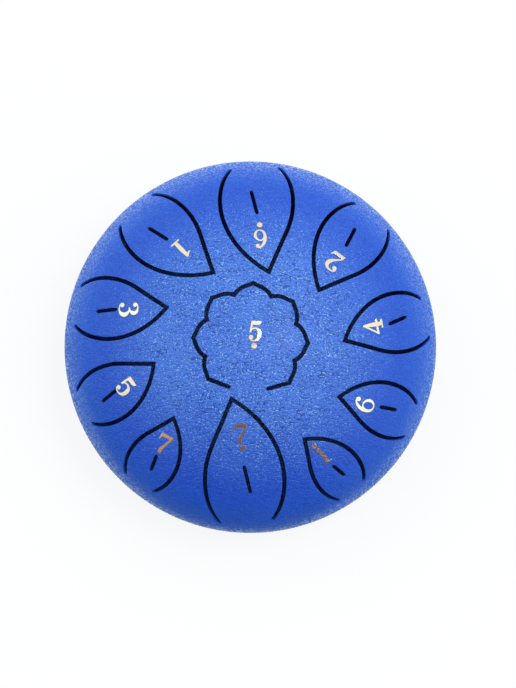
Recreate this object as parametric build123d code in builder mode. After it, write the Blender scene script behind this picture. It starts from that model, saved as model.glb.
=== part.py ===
# Steel tongue drum: two pressed steel shells welded rim to rim, eleven tongues cut through the upper one,
# gold foil numerals on the tongues and three screwed rubber feet.
# The origin is on the floor under the drum's axis, +Z is up and -Y is the player's side.
import math
import os
from build123d import *

os.makedirs("parts", exist_ok=True)

# Shells
drum_radius = 77.5
wall = 1.5
dome_shoulder_radius = 30.0
crown_rise = 15.0
upper_rim_height = 2.0
lower_rim_height = 3.0
base_corner_radius = 30.0
sound_hole_radius = 16.0
sound_hole_edge_radius = 0.4
overrun = 1.0

# Weld bead in the groove between the two rims
weld_land = 0.6
weld_crown = 0.25

# Feet, with their washers, screws and nuts
foot_sides = ("front", "right", "left")
foot_margin = 3.5
foot_height = 7.0
foot_top_radius = 8.0
foot_bottom_radius = 6.8
foot_edge_radius = 0.8
screw_radius = 1.5
screw_clearance = 0.2
screw_head_radius = 2.9
screw_head_height = 2.2
screw_head_side = 1.4
screw_head_recess = 1.3
screw_cross_width = 0.7
screw_cross_length = 3.2
screw_cross_depth = 1.2
screw_tip_length = 1.0
washer_radius = 3.5
washer_thickness = 0.5
washer_clearance = 0.3
nut_across_flats = 5.5
nut_height = 2.4
nut_sides = 6
thread_clearance = 0.05

# Lotus tongue in the middle, hinged where its front petal is left open
lotus_tip_radius = 22.9
lotus_petal_depth = 3.65
lotus_end_depth = 2.4
lotus_end_angle = 21.9
lotus_petals = 8
lotus_bulge_share = 0.08
lotus_knee_shares = (0.75, 0.0375)

# Petal tongues: one outline of slit and tuning slot, scaled by the length of each tongue
tongue_rim_margin = 5.0
slit_width = 1.62
tuning_slot_width = 1.45
swirl_angle = 14.3
left_heading_angle = 49.7
left_sweep_angle = 89.4
left_radius_share = 0.714
right_heading_angle = 33.9
right_sweep_angle = 51.5
right_run_share = 0.357
right_radius_share = 0.78
tuning_slot_start_share = 0.49
tuning_slot_end_share = 0.73
tuning_slot_offset_share = -0.015

# Each tongue's azimuth, and how far its tip lies from the lotus, as a share of the way to the tongues' roots
tongue_shares = {
    "6_low": (90.0, 0.100),
    "7_low": (-90.0, 0.019),
    "1": (131.9, 0.156),
    "2": (48.1, 0.219),
    "3": (169.1, 0.262),
    "4": (10.3, 0.293),
    "5": (-157.5, 0.337),
    "6": (-23.7, 0.382),
    "7": (-126.9, 0.417),
    "1_high": (-53.5, 0.440),
}

# Gold foil numerals: those of the low and high octaves are smaller and have a dot
foil = 0.15
numeral_height = 9.1
dotted_numeral_height = 8.3
dot_radius = 1.15

# Each numeral's digit, its place along and across its tongue as shares of the tongue's length, and its twist
numeral_shares = {
    "6_low": ("6", 0.276, 0.006, -4.4),
    "7_low": ("7", 0.254, 0.011, -11.1),
    "1": ("1", 0.340, -0.016, -11.8),
    "2": ("2", 0.302, 0.007, -5.6),
    "3": ("3", 0.374, -0.009, 0.3),
    "4": ("4", 0.327, 0.018, -12.2),
    "5": ("5", 0.391, 0.013, 5.1),
    "6": ("6", 0.306, -0.025, -2.6),
    "7": ("7", 0.335, 0.012, -0.9),
    "1_high": ("1", 0.307, -0.006, -10.1),
}

# The lotus's numeral: its digit, its place as shares of the lotus's radius, and its twist
lotus_numeral_shares = ("5", 0.070, 0.155, 0.3)

# Octave dots, from the middle of their numerals, as shares of the numeral's height
dot_shares = {
    "5_low": (-0.02, -0.705),
    "6_low": (-0.065, -0.765),
    "7_low": (0.08, -0.72),
    "1_high": (-0.025, 0.69),
}

# Numerals drawn with a broad pen: each row of a stroke is x, y and half the pen's width, each solid patch
# is a list of corners, and each ball is x, y and radius, all as shares of the numeral's height
stroke_shares = {
    "1": [
        [(0.03, 0.49, 0.05), (0.03, 0.30, 0.075), (0.03, -0.46, 0.075)],
        [(0.04, 0.42, 0.075), (-0.06, 0.37, 0.055), (-0.19, 0.33, 0.03)],
    ],
    "2": [
        [(-0.24, 0.27, 0.04), (-0.195, 0.41, 0.04), (-0.01, 0.46, 0.04), (0.17, 0.38, 0.075),
         (0.22, 0.22, 0.095), (0.115, 0.01, 0.07), (-0.115, -0.20, 0.04), (-0.265, -0.39, 0.035)],
    ],
    "3": [
        [(-0.24, 0.33, 0.035), (-0.155, 0.44, 0.03), (0, 0.465, 0.035), (0.155, 0.41, 0.07),
         (0.205, 0.27, 0.09), (0.12, 0.12, 0.055), (-0.07, 0.05, 0.03)],
        [(-0.07, 0.05, 0.03), (0.13, 0.01, 0.055), (0.24, -0.18, 0.10), (0.165, -0.38, 0.075),
         (0, -0.465, 0.035), (-0.18, -0.44, 0.03), (-0.29, -0.31, 0.035)],
    ],
    "4": [
        [(0.095, 0.49, 0.04), (0.095, 0.20, 0.08), (0.095, -0.44, 0.08)],
        [(0.095, 0.46, 0.05), (-0.105, 0.14, 0.037), (-0.31, -0.19, 0.037)],
        [(-0.35, -0.20, 0.047), (0, -0.20, 0.047), (0.33, -0.20, 0.047)],
    ],
    "5": [
        [(-0.155, 0.42, 0.045), (-0.185, 0.20, 0.045), (-0.225, -0.06, 0.045)],
        [(-0.19, 0.03, 0.03), (-0.10, 0.12, 0.035), (0.03, 0.14, 0.04), (0.17, 0.06, 0.075),
         (0.215, -0.13, 0.095), (0.15, -0.36, 0.07), (0, -0.46, 0.037), (-0.16, -0.44, 0.033),
         (-0.26, -0.31, 0.035)],
    ],
    "6": [
        [(-0.22, -0.17, 0.085), (-0.20, 0.10, 0.08), (-0.075, 0.34, 0.06), (0.085, 0.455, 0.04),
         (0.21, 0.44, 0.032), (0.265, 0.36, 0.03)],
    ],
    "7": [
        [(0.245, 0.42, 0.06), (0.135, 0.13, 0.05), (0.02, -0.12, 0.06), (-0.055, -0.36, 0.085),
         (-0.035, -0.49, 0.05)],
        [(-0.225, 0.46, 0.06), (-0.25, 0.32, 0.045), (-0.29, 0.17, 0.022)],
    ],
}
patch_shares = {
    "1": [(-0.20, -0.50), (0.26, -0.50), (0.26, -0.42), (-0.20, -0.42)],
    "2": [(-0.33, -0.50), (0.24, -0.50), (0.355, -0.25), (0.30, -0.24), (0.22, -0.34), (-0.275, -0.36)],
    "4": [(-0.10, -0.50), (0.29, -0.50), (0.29, -0.425), (-0.10, -0.425)],
    "5": [(-0.19, 0.50), (0.31, 0.48), (0.25, 0.35), (0.14, 0.30), (-0.20, 0.30)],
    "7": [(-0.26, 0.50), (0.305, 0.50), (0.27, 0.35), (-0.215, 0.35)],
}
ball_shares = {
    "2": [(-0.165, 0.26, 0.10)],
    "3": [(-0.165, 0.33, 0.095), (-0.20, -0.31, 0.105)],
    "5": [(-0.185, -0.29, 0.105)],
    "6": [(0.185, 0.36, 0.10)],
}

# Bowl of the 6: the height of its middle, then half its width and height outside and inside
bowl_shares = {"6": (-0.19, 0.30, 0.31, 0.165, 0.25)}

# Levels and radii that follow from the sizes above
base_level = foot_height
seam_level = base_level + base_corner_radius + lower_rim_height
shoulder_level = seam_level + upper_rim_height
apex_level = shoulder_level + dome_shoulder_radius + crown_rise
shoulder_centre = drum_radius - dome_shoulder_radius
crown_radius = (shoulder_centre**2 + crown_rise**2) / (2 * crown_rise) + dome_shoulder_radius
crown_centre = apex_level - crown_radius
crown_angle = math.asin(shoulder_centre / (crown_radius - dome_shoulder_radius))
tongue_root_radius = drum_radius - tongue_rim_margin
lotus_valley_radius = lotus_tip_radius - lotus_petal_depth
lotus_end_radius = lotus_tip_radius - lotus_end_depth
weld_leg = wall - weld_land
flat_base_radius = drum_radius - base_corner_radius
foot_circle_radius = flat_base_radius - foot_top_radius - foot_margin
head_level = screw_head_recess + screw_head_height
web_level = head_level + washer_thickness
shank_end = base_level + wall + nut_height + screw_tip_length


def polar(radius, angle):
    # Point of a plan at a radius and an angle in degrees
    return Vector(radius * math.cos(math.radians(angle)), radius * math.sin(math.radians(angle)))


def crown_point(angle, growth):
    # Point of the crown's half section, at an angle from the axis, on the surface moved out by growth
    reach = crown_radius + growth
    return (reach * math.sin(angle), crown_centre + reach * math.cos(angle))


def dome_arcs(growth):
    # Crown and shoulder of the dome's half section, from the axis to the rim, moved out by growth
    crown = ThreePointArc(*[crown_point(crown_angle * share, growth) for share in (0, 0.5, 1)])
    sweep = math.degrees(crown_angle) - 90
    shoulder = JernArc(crown @ 1, crown % 1, dome_shoulder_radius + growth, sweep)
    return crown, shoulder


def tongue_place(note):
    # Plane that touches the crown midway along a tongue, with its origin over the tip and its X along the
    # tongue, then the tongue's length, and the depth of the rim under that plane
    azimuth, tip_share = tongue_shares[note]
    tip_radius = lotus_tip_radius + tip_share * (tongue_root_radius - lotus_tip_radius)
    tilt = math.asin((tip_radius + tongue_root_radius) / 2 / crown_radius)
    outward = polar(1, azimuth)
    side = polar(1, azimuth + 90)
    normal = outward * math.sin(tilt) + Vector(0, 0, math.cos(tilt))
    downhill = side.cross(normal)
    touch = Vector(0, 0, crown_centre) + normal * crown_radius
    root_rise = math.sqrt(dome_shoulder_radius**2 - (tongue_root_radius - shoulder_centre) ** 2)
    root = outward * tongue_root_radius + Vector(0, 0, shoulder_level + root_rise)
    rim = outward * drum_radius + Vector(0, 0, shoulder_level)
    tip_reach = crown_radius * math.sin(math.asin(tip_radius / crown_radius) - tilt)
    root_reach = (root - touch).dot(downhill)
    lean = math.radians(swirl_angle)
    along = downhill * math.cos(lean) + side * math.sin(lean)
    plane = Plane(touch + along * (tip_reach / math.cos(lean)), x_dir=along, z_dir=normal)
    return plane, (root_reach - tip_reach) / math.cos(lean), (touch - rim).dot(normal)


def laser_cut(line, *ends):
    # Slit along a line, with round ends
    trace(line, line_width=slit_width)
    with Locations(*ends):
        Circle(slit_width / 2)


def petal_slit(length):
    # Slit round a petal tongue: one bowed side, and one that starts straight
    with BuildLine() as petal:
        left = JernArc((0, 0), polar(1, left_heading_angle), left_radius_share * length, -left_sweep_angle)
        run = PolarLine((0, 0), right_run_share * length, -right_heading_angle)
        right = JernArc(run @ 1, run % 1, right_radius_share * length, right_sweep_angle)
    laser_cut(petal.line, left @ 1, right @ 1)


def tuning_slot(length):
    # Short slot along the middle of a tongue
    start = tuning_slot_start_share * length
    end = tuning_slot_end_share * length
    with Locations(((start + end) / 2, tuning_slot_offset_share * length)):
        SlotOverall(end - start, tuning_slot_width)


def lotus_knee(valley, tip):
    # Where the edge of a lotus petal stops bowing and runs straight to the petal's tip
    along_share, out_share = lotus_knee_shares
    chord = tip - valley
    outward = chord.cross(Vector(0, 0, 1))
    return valley + chord * along_share + outward * math.copysign(out_share, outward.dot(tip))


def lotus_slit():
    # Slit round the lotus: petals with bowed edges, and straight ends beside the open front petal
    step = 360 / lotus_petals
    tips = [polar(lotus_tip_radius, step * k - 90) for k in range(1, lotus_petals)]
    valleys = [polar(lotus_valley_radius, step * (k + 0.5) - 90) for k in range(1, lotus_petals - 1)]
    bulge = lotus_bulge_share * (tips[0] - valleys[0]).length
    with BuildLine() as lotus:
        right = Line(polar(lotus_end_radius, lotus_end_angle - 90), tips[0])
        for tip, valley, next_tip in zip(tips, valleys, tips[1:]):
            knee = lotus_knee(valley, tip)
            next_knee = lotus_knee(valley, next_tip)
            Line(tip, knee)
            SagittaArc(knee, valley, -bulge)
            SagittaArc(valley, next_knee, -bulge)
            Line(next_knee, next_tip)
        left = Line(tips[-1], polar(lotus_end_radius, -lotus_end_angle - 90))
    laser_cut(lotus.line, right @ 0, left @ 1)


# Upper shell: the dome and its rim, bevelled for the weld, with the slits cut through
with BuildPart() as upper_shell:
    with BuildSketch(Plane.XZ):
        with BuildLine():
            outer_crown, outer_shoulder = dome_arcs(0)
            inner_crown, inner_shoulder = dome_arcs(-wall)
            Line(outer_crown @ 0, inner_crown @ 0)
            Polyline(
                outer_shoulder @ 1,
                (drum_radius, seam_level + weld_leg),
                (drum_radius - weld_leg, seam_level),
                (drum_radius - wall, seam_level),
                inner_shoulder @ 1,
            )
        make_face()
    revolve(axis=Axis.Z)
    for note in tongue_shares:
        plane, length, rim_depth = tongue_place(note)
        with BuildSketch(plane.offset(overrun)):
            petal_slit(length)
            tuning_slot(length)
        extrude(amount=-(rim_depth + overrun), mode=Mode.SUBTRACT)
    with BuildSketch(Plane.XY.offset(apex_level + overrun)):
        lotus_slit()
    extrude(amount=shoulder_level - apex_level - overrun, mode=Mode.SUBTRACT)
upper_shell.part.label = "upper_shell"
export_step(upper_shell.part, "parts/upper_shell.step")

# Lower shell: a bowl with a flat base, a sound hole and the holes for the feet's screws
with BuildPart() as lower_shell:
    with BuildSketch(Plane.XZ):
        with BuildLine():
            outer_base = Line((sound_hole_radius, base_level), (flat_base_radius, base_level))
            outer_corner = JernArc(outer_base @ 1, outer_base % 1, base_corner_radius, 90)
            inner_base = Line((sound_hole_radius, base_level + wall), (flat_base_radius, base_level + wall))
            inner_corner = JernArc(inner_base @ 1, inner_base % 1, base_corner_radius - wall, 90)
            Line(outer_base @ 0, inner_base @ 0)
            Polyline(
                outer_corner @ 1,
                (drum_radius, seam_level - weld_leg),
                (drum_radius - weld_leg, seam_level),
                (drum_radius - wall, seam_level),
                inner_corner @ 1,
            )
        make_face()
    revolve(axis=Axis.Z)
    hole_edges = lower_shell.edges().filter_by(GeomType.CIRCLE).group_by(SortBy.RADIUS)[0]
    fillet(hole_edges, min(sound_hole_edge_radius, wall / 3))
    with BuildSketch(Plane.XY.offset(base_level - overrun)):
        with PolarLocations(foot_circle_radius, len(foot_sides), start_angle=-90):
            Circle(screw_radius + screw_clearance)
    extrude(amount=wall + 2 * overrun, mode=Mode.SUBTRACT)
lower_shell.part.label = "lower_shell"
export_step(lower_shell.part, "parts/lower_shell.step")

# Weld bead that fills the groove between the two bevelled rims
with BuildPart() as seam_weld:
    with BuildSketch(Plane.XZ):
        with BuildLine():
            groove = Polyline(
                (drum_radius, seam_level - weld_leg),
                (drum_radius - weld_leg, seam_level),
                (drum_radius, seam_level + weld_leg),
            )
            ThreePointArc(groove @ 1, (drum_radius + weld_crown, seam_level), groove @ 0)
        make_face()
    revolve(axis=Axis.Z)
seam_weld.part.label = "seam_weld"
export_step(seam_weld.part, "parts/seam_weld.step")

# Places of the feet round the drum's axis, the first one towards the player
foot_places = [place.position for place in PolarLocations(foot_circle_radius, len(foot_sides), -90)]

# Rubber feet: tapered, with a pocket for the washer and the screw's head
for side, place in zip(foot_sides, foot_places):
    with BuildPart() as rubber_foot:
        with BuildSketch(Plane(place, x_dir=(1, 0, 0), z_dir=(0, -1, 0))):
            with BuildLine():
                Polyline(
                    (screw_radius + screw_clearance, web_level),
                    (screw_radius + screw_clearance, base_level),
                    (foot_top_radius, base_level),
                    (foot_bottom_radius, 0),
                    (washer_radius + washer_clearance, 0),
                    (washer_radius + washer_clearance, web_level),
                    close=True,
                )
            profile = make_face()
            fillet(profile.vertices().sort_by(Axis.X)[-2:], foot_edge_radius)
        revolve(axis=Axis(place, (0, 0, 1)))
    rubber_foot.part.label = "rubber_foot_" + side
    export_step(rubber_foot.part, "parts/rubber_foot_" + side + ".step")

# Washers, one against the web of each foot
with BuildPart() as foot_washers:
    with BuildSketch(Plane.XY.offset(head_level)):
        with Locations(*foot_places):
            Circle(washer_radius)
            Circle(screw_radius + screw_clearance, mode=Mode.SUBTRACT)
    extrude(amount=washer_thickness)
foot_washers.part.label = "foot_washers"
export_step(foot_washers.part, "parts/foot_washers.step")

# Screws: crowned heads with a cross recess, and shanks through foot, base and nut
with BuildPart() as foot_screws:
    for place in foot_places:
        with BuildSketch(Plane(place, x_dir=(1, 0, 0), z_dir=(0, -1, 0))):
            with BuildLine():
                outline = Polyline(
                    (0, screw_head_recess),
                    (0, shank_end),
                    (screw_radius, shank_end),
                    (screw_radius, head_level),
                    (screw_head_radius, head_level),
                    (screw_head_radius, head_level - screw_head_side),
                )
                TangentArc(outline @ 0, outline @ 1, tangent=(1, 0))
            make_face()
        revolve(axis=Axis(place, (0, 0, 1)))
    with BuildSketch(Plane.XY.offset(screw_head_recess)):
        with Locations(*foot_places):
            Rectangle(screw_cross_length, screw_cross_width)
            Rectangle(screw_cross_width, screw_cross_length)
    extrude(amount=screw_cross_depth, mode=Mode.SUBTRACT)
foot_screws.part.label = "foot_screws"
export_step(foot_screws.part, "parts/foot_screws.step")

# Nuts on the inside of the base
with BuildPart() as foot_nuts:
    with BuildSketch(Plane.XY.offset(base_level + wall)):
        with Locations(*foot_places):
            RegularPolygon(nut_across_flats / 2, nut_sides, major_radius=False)
            Circle(screw_radius + thread_clearance, mode=Mode.SUBTRACT)
    extrude(amount=nut_height)
foot_nuts.part.label = "foot_nuts"
export_step(foot_nuts.part, "parts/foot_nuts.step")


def pen_stroke(rows, height):
    # Stroke of a broad pen along rows of x, y and half width
    points = [Vector(x, y) for x, y, _ in rows]
    left_side = []
    right_side = []
    for before, point, after, row in zip(points[:1] + points, points, points[1:] + points[-1:], rows):
        across = (after - before).normalized().rotate(Axis.Z, 90) * row[-1]
        left_side.append((point + across) * height)
        right_side.append((point - across) * height)
    with BuildLine() as outline:
        left_edge = Spline(*left_side)
        right_edge = Spline(*right_side)
        Line(left_edge @ 0, right_edge @ 0)
        Line(left_edge @ 1, right_edge @ 1)
    make_face(outline.line)


def numeral(note, digit):
    # Numeral about its own middle, with its octave dot
    height = dotted_numeral_height if note in dot_shares else numeral_height
    for rows in stroke_shares[digit]:
        pen_stroke(rows, height)
    if digit in patch_shares:
        Polygon(*[Vector(x, y) * height for x, y in patch_shares[digit]], align=None)
    for x, y, radius in ball_shares.get(digit, []):
        with Locations(Vector(x, y) * height):
            Circle(radius * height)
    if digit in bowl_shares:
        middle, outer_width, outer_height, inner_width, inner_height = bowl_shares[digit]
        with Locations((0, middle * height)):
            Ellipse(outer_width * height, outer_height * height)
            Ellipse(inner_width * height, inner_height * height, mode=Mode.SUBTRACT)
    if note in dot_shares:
        with Locations(Vector(*dot_shares[note]) * height):
            Circle(dot_radius)


def foil_sticker(note, digit, plane, depth):
    # Foil cut to a numeral and pressed onto the dome
    with BuildPart() as sticker:
        with BuildSketch(plane.offset(overrun)):
            numeral(note, digit)
        extrude(amount=-(depth + overrun))
        with BuildSketch(Plane.XZ) as foil_section:
            with BuildLine():
                outer_crown, outer_shoulder = dome_arcs(foil)
                inner_crown, inner_shoulder = dome_arcs(0)
                Line(outer_crown @ 0, inner_crown @ 0)
                Line(outer_shoulder @ 1, inner_shoulder @ 1)
            make_face()
        revolve(foil_section.sketch, axis=Axis.Z, mode=Mode.INTERSECT)
    sticker.part.label = "note_" + note
    export_step(sticker.part, "parts/note_" + note + ".step")


# Numerals on the petal tongues, their tops towards the drum's middle
for note, (digit, along_share, across_share, twist) in numeral_shares.items():
    tongue, length, rim_depth = tongue_place(note)
    middle = tongue.from_local_coords(Vector(along_share * length, across_share * length))
    upright = Plane(middle, x_dir=tongue.y_dir, z_dir=tongue.z_dir)
    foil_sticker(note, digit, upright.rotated((0, 0, twist)), rim_depth)

# Numeral on the lotus
digit, x_share, y_share, twist = lotus_numeral_shares
lotus_middle = (x_share * lotus_tip_radius, y_share * lotus_tip_radius, apex_level)
foil_sticker("5_low", digit, Plane(lotus_middle).rotated((0, 0, twist)), apex_level - shoulder_level)
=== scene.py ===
import math
import bmesh
import bpy
import numpy as np
from mathutils import Matrix, Vector
from mathutils.geometry import delaunay_2d_cdt
from mathutils.kdtree import KDTree


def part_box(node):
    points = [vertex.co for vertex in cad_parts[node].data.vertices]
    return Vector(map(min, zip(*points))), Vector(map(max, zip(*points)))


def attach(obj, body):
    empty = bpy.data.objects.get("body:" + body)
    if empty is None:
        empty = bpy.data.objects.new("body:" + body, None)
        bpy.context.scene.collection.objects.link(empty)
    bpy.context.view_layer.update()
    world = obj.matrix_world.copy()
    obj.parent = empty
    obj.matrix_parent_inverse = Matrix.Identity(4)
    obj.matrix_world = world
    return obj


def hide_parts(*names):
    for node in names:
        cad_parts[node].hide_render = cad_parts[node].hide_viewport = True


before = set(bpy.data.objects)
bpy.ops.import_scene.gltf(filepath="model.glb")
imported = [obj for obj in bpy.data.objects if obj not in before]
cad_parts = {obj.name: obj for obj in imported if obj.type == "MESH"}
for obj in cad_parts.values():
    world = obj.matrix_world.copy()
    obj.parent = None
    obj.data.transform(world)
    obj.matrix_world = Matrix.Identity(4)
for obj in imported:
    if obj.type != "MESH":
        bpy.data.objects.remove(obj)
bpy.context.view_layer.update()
scene = bpy.context.scene
scene.view_settings.view_transform = "Standard"
print("frame loaded:", len(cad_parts), "nodes")


def addObject(name, data):
    made = bpy.data.objects.new(name, data)
    scene.collection.objects.link(made)
    return made


# camera, straight above the drum and leaning a little to the player's side
photoCamera = {
    "lookAt": (0.0, 0.0, 0.042),
    "distance": 0.9,
    "azimuth": -0.38,
    "elevation": 86.68,
    "roll": 2.6,
    "lens": 112.74,
    "sensor": 36.0,
    "shift": (0.01119, 0.00358),
    "clip": (0.01, 50.0),
}


def addCamera(view):
    turn, rise, roll = (math.radians(view[angle]) for angle in ("azimuth", "elevation", "roll"))
    back = Vector((math.sin(turn) * math.cos(rise), -math.cos(turn) * math.cos(rise), math.sin(rise)))
    right = Vector((-math.sin(roll), math.cos(roll), 0)).cross(back).normalized()
    pose = Matrix((right, back.cross(right), back)).transposed().to_4x4()
    pose.translation = Vector(view["lookAt"]) + back * view["distance"]
    data = bpy.data.cameras.new("photoCamera")
    data.sensor_fit = "VERTICAL"
    data.sensor_height = view["sensor"]
    data.lens = view["lens"]
    data.shift_x, data.shift_y = view["shift"]
    data.clip_start, data.clip_end = view["clip"]
    scene.camera = addObject("photoCamera", data)
    scene.camera.matrix_world = pose


addCamera(photoCamera)
print("camera set")


# node helpers, used by the materials and by the geometry trees
def node(tree, kind, **settings):
    made = tree.nodes.new(kind)
    for key, value in settings.items():
        setattr(made, key, value)
    return made


def wire(tree, source, target):
    if isinstance(source, bpy.types.NodeSocket):
        tree.links.new(source, target)
    else:
        target.default_value = source


def fill(tree, made, values):
    for socket, value in zip(made.inputs, values):
        wire(tree, value, socket)
    return made.outputs


def calc(tree, operation, *values):
    return fill(tree, node(tree, "ShaderNodeMath", operation=operation), values)[0]


def product(tree, first, *others):
    for other in others:
        first = calc(tree, "MULTIPLY", first, other)
    return first


def vectorCalc(tree, operation, *values):
    return fill(tree, node(tree, "ShaderNodeVectorMath", operation=operation), values)


def remap(tree, value, low, high, toLow=0.0, toHigh=1.0):
    made = node(tree, "ShaderNodeMapRange", interpolation_type="SMOOTHSTEP")
    return fill(tree, made, (value, low, high, toLow, toHigh))[0]


def blendColour(tree, mask, first, second):
    made = node(tree, "ShaderNodeMix", data_type="RGBA")
    for k, value in ((0, mask), (6, first), (7, second)):  # the colour sockets of a Mix node
        wire(tree, value, made.inputs[k])
    return made.outputs[2]


def noise(tree, place, scale, detail):
    made = node(tree, "ShaderNodeTexNoise")
    for label, value in (("Vector", place), ("Scale", scale), ("Detail", detail)):
        wire(tree, value, made.inputs[label])
    return made.outputs


def fromAxis(tree, place):
    across = vectorCalc(tree, "MULTIPLY", place, (1.0, 1.0, 0.0))["Vector"]
    return vectorCalc(tree, "LENGTH", across)["Value"]


def srgb(red, green, blue):
    def line(v):
        v /= 255
        return v / 12.92 if v <= 0.04045 else ((v + 0.055) / 1.055) ** 2.4
    return (line(red), line(green), line(blue), 1.0)


# shader groups: an input without a value is a vector, and every output is a number
def newGroup(name, inputs, outputs):
    group = bpy.data.node_groups.new(name, "ShaderNodeTree")
    for label, value in inputs.items():
        kind = "NodeSocketVector" if value is None else "NodeSocketFloat"
        socket = group.interface.new_socket(label, in_out="INPUT", socket_type=kind)
        if value is not None:
            socket.default_value = value
    for label in outputs:
        group.interface.new_socket(label, in_out="OUTPUT", socket_type="NodeSocketFloat")
    return group, node(group, "NodeGroupInput").outputs, node(group, "NodeGroupOutput").inputs


# wrinkle: the leathery skin of powder paint, as its height, creases, painted glints and the rim sheen pattern
wrinkleForm = {
    "drift": (0.6, 2.0),  # noises: fineness against the scale, detail
    "folds": (1.25, 0.5),
    "grain": (4.0, 1.0),
    "rimSheen": (2.4, 1.5),
    "pebbles": 2.4,
    "foldStretch": (0.65, 1.45, 1.0),  # folds run longer from side to side
    "rimSheenStretch": (1.0, 1.0, 0.62),  # the rim sheen pattern is drawn out down the side
    "creaseAt": 0.5,
    "glintAt": 0.57,
    "pillow": (0.0, 0.16),
    "pebble": (0.0, 0.3),
    "pebbleHeight": 0.45,
    "grainHeight": 0.3,
    "deepCrease": (0.068, 0.016),
    "fineCrease": (0.2, 0.02),
    "fineShare": 0.22,
    "spark": (0.53, 0.72),
    "glint": (0.026, 0.004),
    "glintGrain": (0.42, 0.6),
    "rimSheenRange": (0.5, 0.62),
}


def makeWrinkle(form):
    group, given, out = newGroup("wrinkle", {"Vector": None, "Scale": 500.0, "Stir": None},
                                 ("Height", "Crease", "PaintedGlint", "RimSheen"))
    place = given["Vector"]

    def layer(label, place):
        finer, detail = form[label]
        return noise(group, place, product(group, given["Scale"], finer), detail)

    drift = vectorCalc(group, "SUBTRACT", layer("drift", place)["Color"], (0.5, 0.5, 0.5))[0]
    stirred = vectorCalc(group, "MULTIPLY_ADD", drift, given["Stir"], place)[0]
    drawn = vectorCalc(group, "MULTIPLY", stirred, form["foldStretch"])[0]
    folds, grain = layer("folds", drawn)[0], layer("grain", place)[0]
    pebbles = node(group, "ShaderNodeTexVoronoi", feature="DISTANCE_TO_EDGE")
    wire(group, drawn, pebbles.inputs["Vector"])
    wire(group, product(group, given["Scale"], form["pebbles"]), pebbles.inputs["Scale"])
    away = pebbles.outputs["Distance"]
    ridge = calc(group, "ABSOLUTE", calc(group, "SUBTRACT", folds, form["creaseAt"]))
    beside = calc(group, "ABSOLUTE", calc(group, "SUBTRACT", folds, form["glintAt"]))
    pillow, pebble = remap(group, ridge, *form["pillow"]), remap(group, away, *form["pebble"])
    height = calc(group, "MULTIPLY_ADD", pebble, form["pebbleHeight"], pillow)
    wire(group, calc(group, "MULTIPLY_ADD", grain, form["grainHeight"], height), out["Height"])
    fine = product(group, remap(group, away, *form["fineCrease"]), form["fineShare"])
    wire(group, calc(group, "MAXIMUM", remap(group, ridge, *form["deepCrease"]), fine), out["Crease"])
    # painted glints: bright sparks on the pebbles and glint lines beside the creases
    spark = product(group, remap(group, grain, *form["spark"]), pebble)
    glint = product(group, remap(group, beside, *form["glint"]), remap(group, grain, *form["glintGrain"]))
    wire(group, calc(group, "MAXIMUM", spark, glint), out["PaintedGlint"])
    rimSheen = layer("rimSheen", vectorCalc(group, "MULTIPLY", place, form["rimSheenStretch"])[0])[0]
    wire(group, remap(group, rimSheen, *form["rimSheenRange"]), out["RimSheen"])
    return group


# cloud: slow uneven patches, for colour and gloss
def makeCloud(detail):
    group, given, out = newGroup("cloud", {"Vector": None, "Scale": 30.0, "Soft": 0.2}, ["Mask"])
    patches = noise(group, given["Vector"], given["Scale"], detail)[0]
    low, high = calc(group, "SUBTRACT", 0.5, given["Soft"]), calc(group, "ADD", 0.5, given["Soft"])
    wire(group, remap(group, patches, low, high), out["Mask"])
    return group


# rub: where edges are worn, from the pieces' own edge attribute broken up by noise; on the blue paint this
# also paints a highlight along the slit edges
rubForm = {"detail": 3.0, "unworn": 0.75, "wornAndHighlit": 0.5, "soft": 0.15}


def makeRub(form):
    group, given, out = newGroup("rub", {"Vector": None, "Scale": 300.0, "Amount": 0.5}, ["Mask"])
    edge = node(group, "ShaderNodeAttribute", attribute_name="edge").outputs["Fac"]
    reach = product(group, edge, noise(group, given["Vector"], given["Scale"], form["detail"])[0])
    level = calc(group, "SUBTRACT", form["unworn"], product(group, given["Amount"], form["wornAndHighlit"]))
    wire(group, remap(group, reach, level, calc(group, "ADD", level, form["soft"])), out["Mask"])
    return group


wrinkle, cloud, rub = makeWrinkle(wrinkleForm), makeCloud(detail=4.0), makeRub(rubForm)


def newMaterial(name):
    material = bpy.data.materials.new(name)
    material.use_nodes = True
    tree = material.node_tree
    place = node(tree, "ShaderNodeTexCoord").outputs["Object"]
    return material, tree, tree.nodes["Principled BSDF"].inputs, place


def useGroup(tree, group, place, values):
    made = node(tree, "ShaderNodeGroup", node_tree=group)
    wire(tree, place, made.inputs["Vector"])
    for label, value in values.items():
        wire(tree, value, made.inputs[label])
    return made.outputs


def bumped(tree, shader, height, strength, depth):
    made = node(tree, "ShaderNodeBump")
    for label, value in (("Strength", strength), ("Distance", depth), ("Height", height)):
        wire(tree, value, made.inputs[label])
    wire(tree, made.outputs[0], shader["Normal"])
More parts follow.
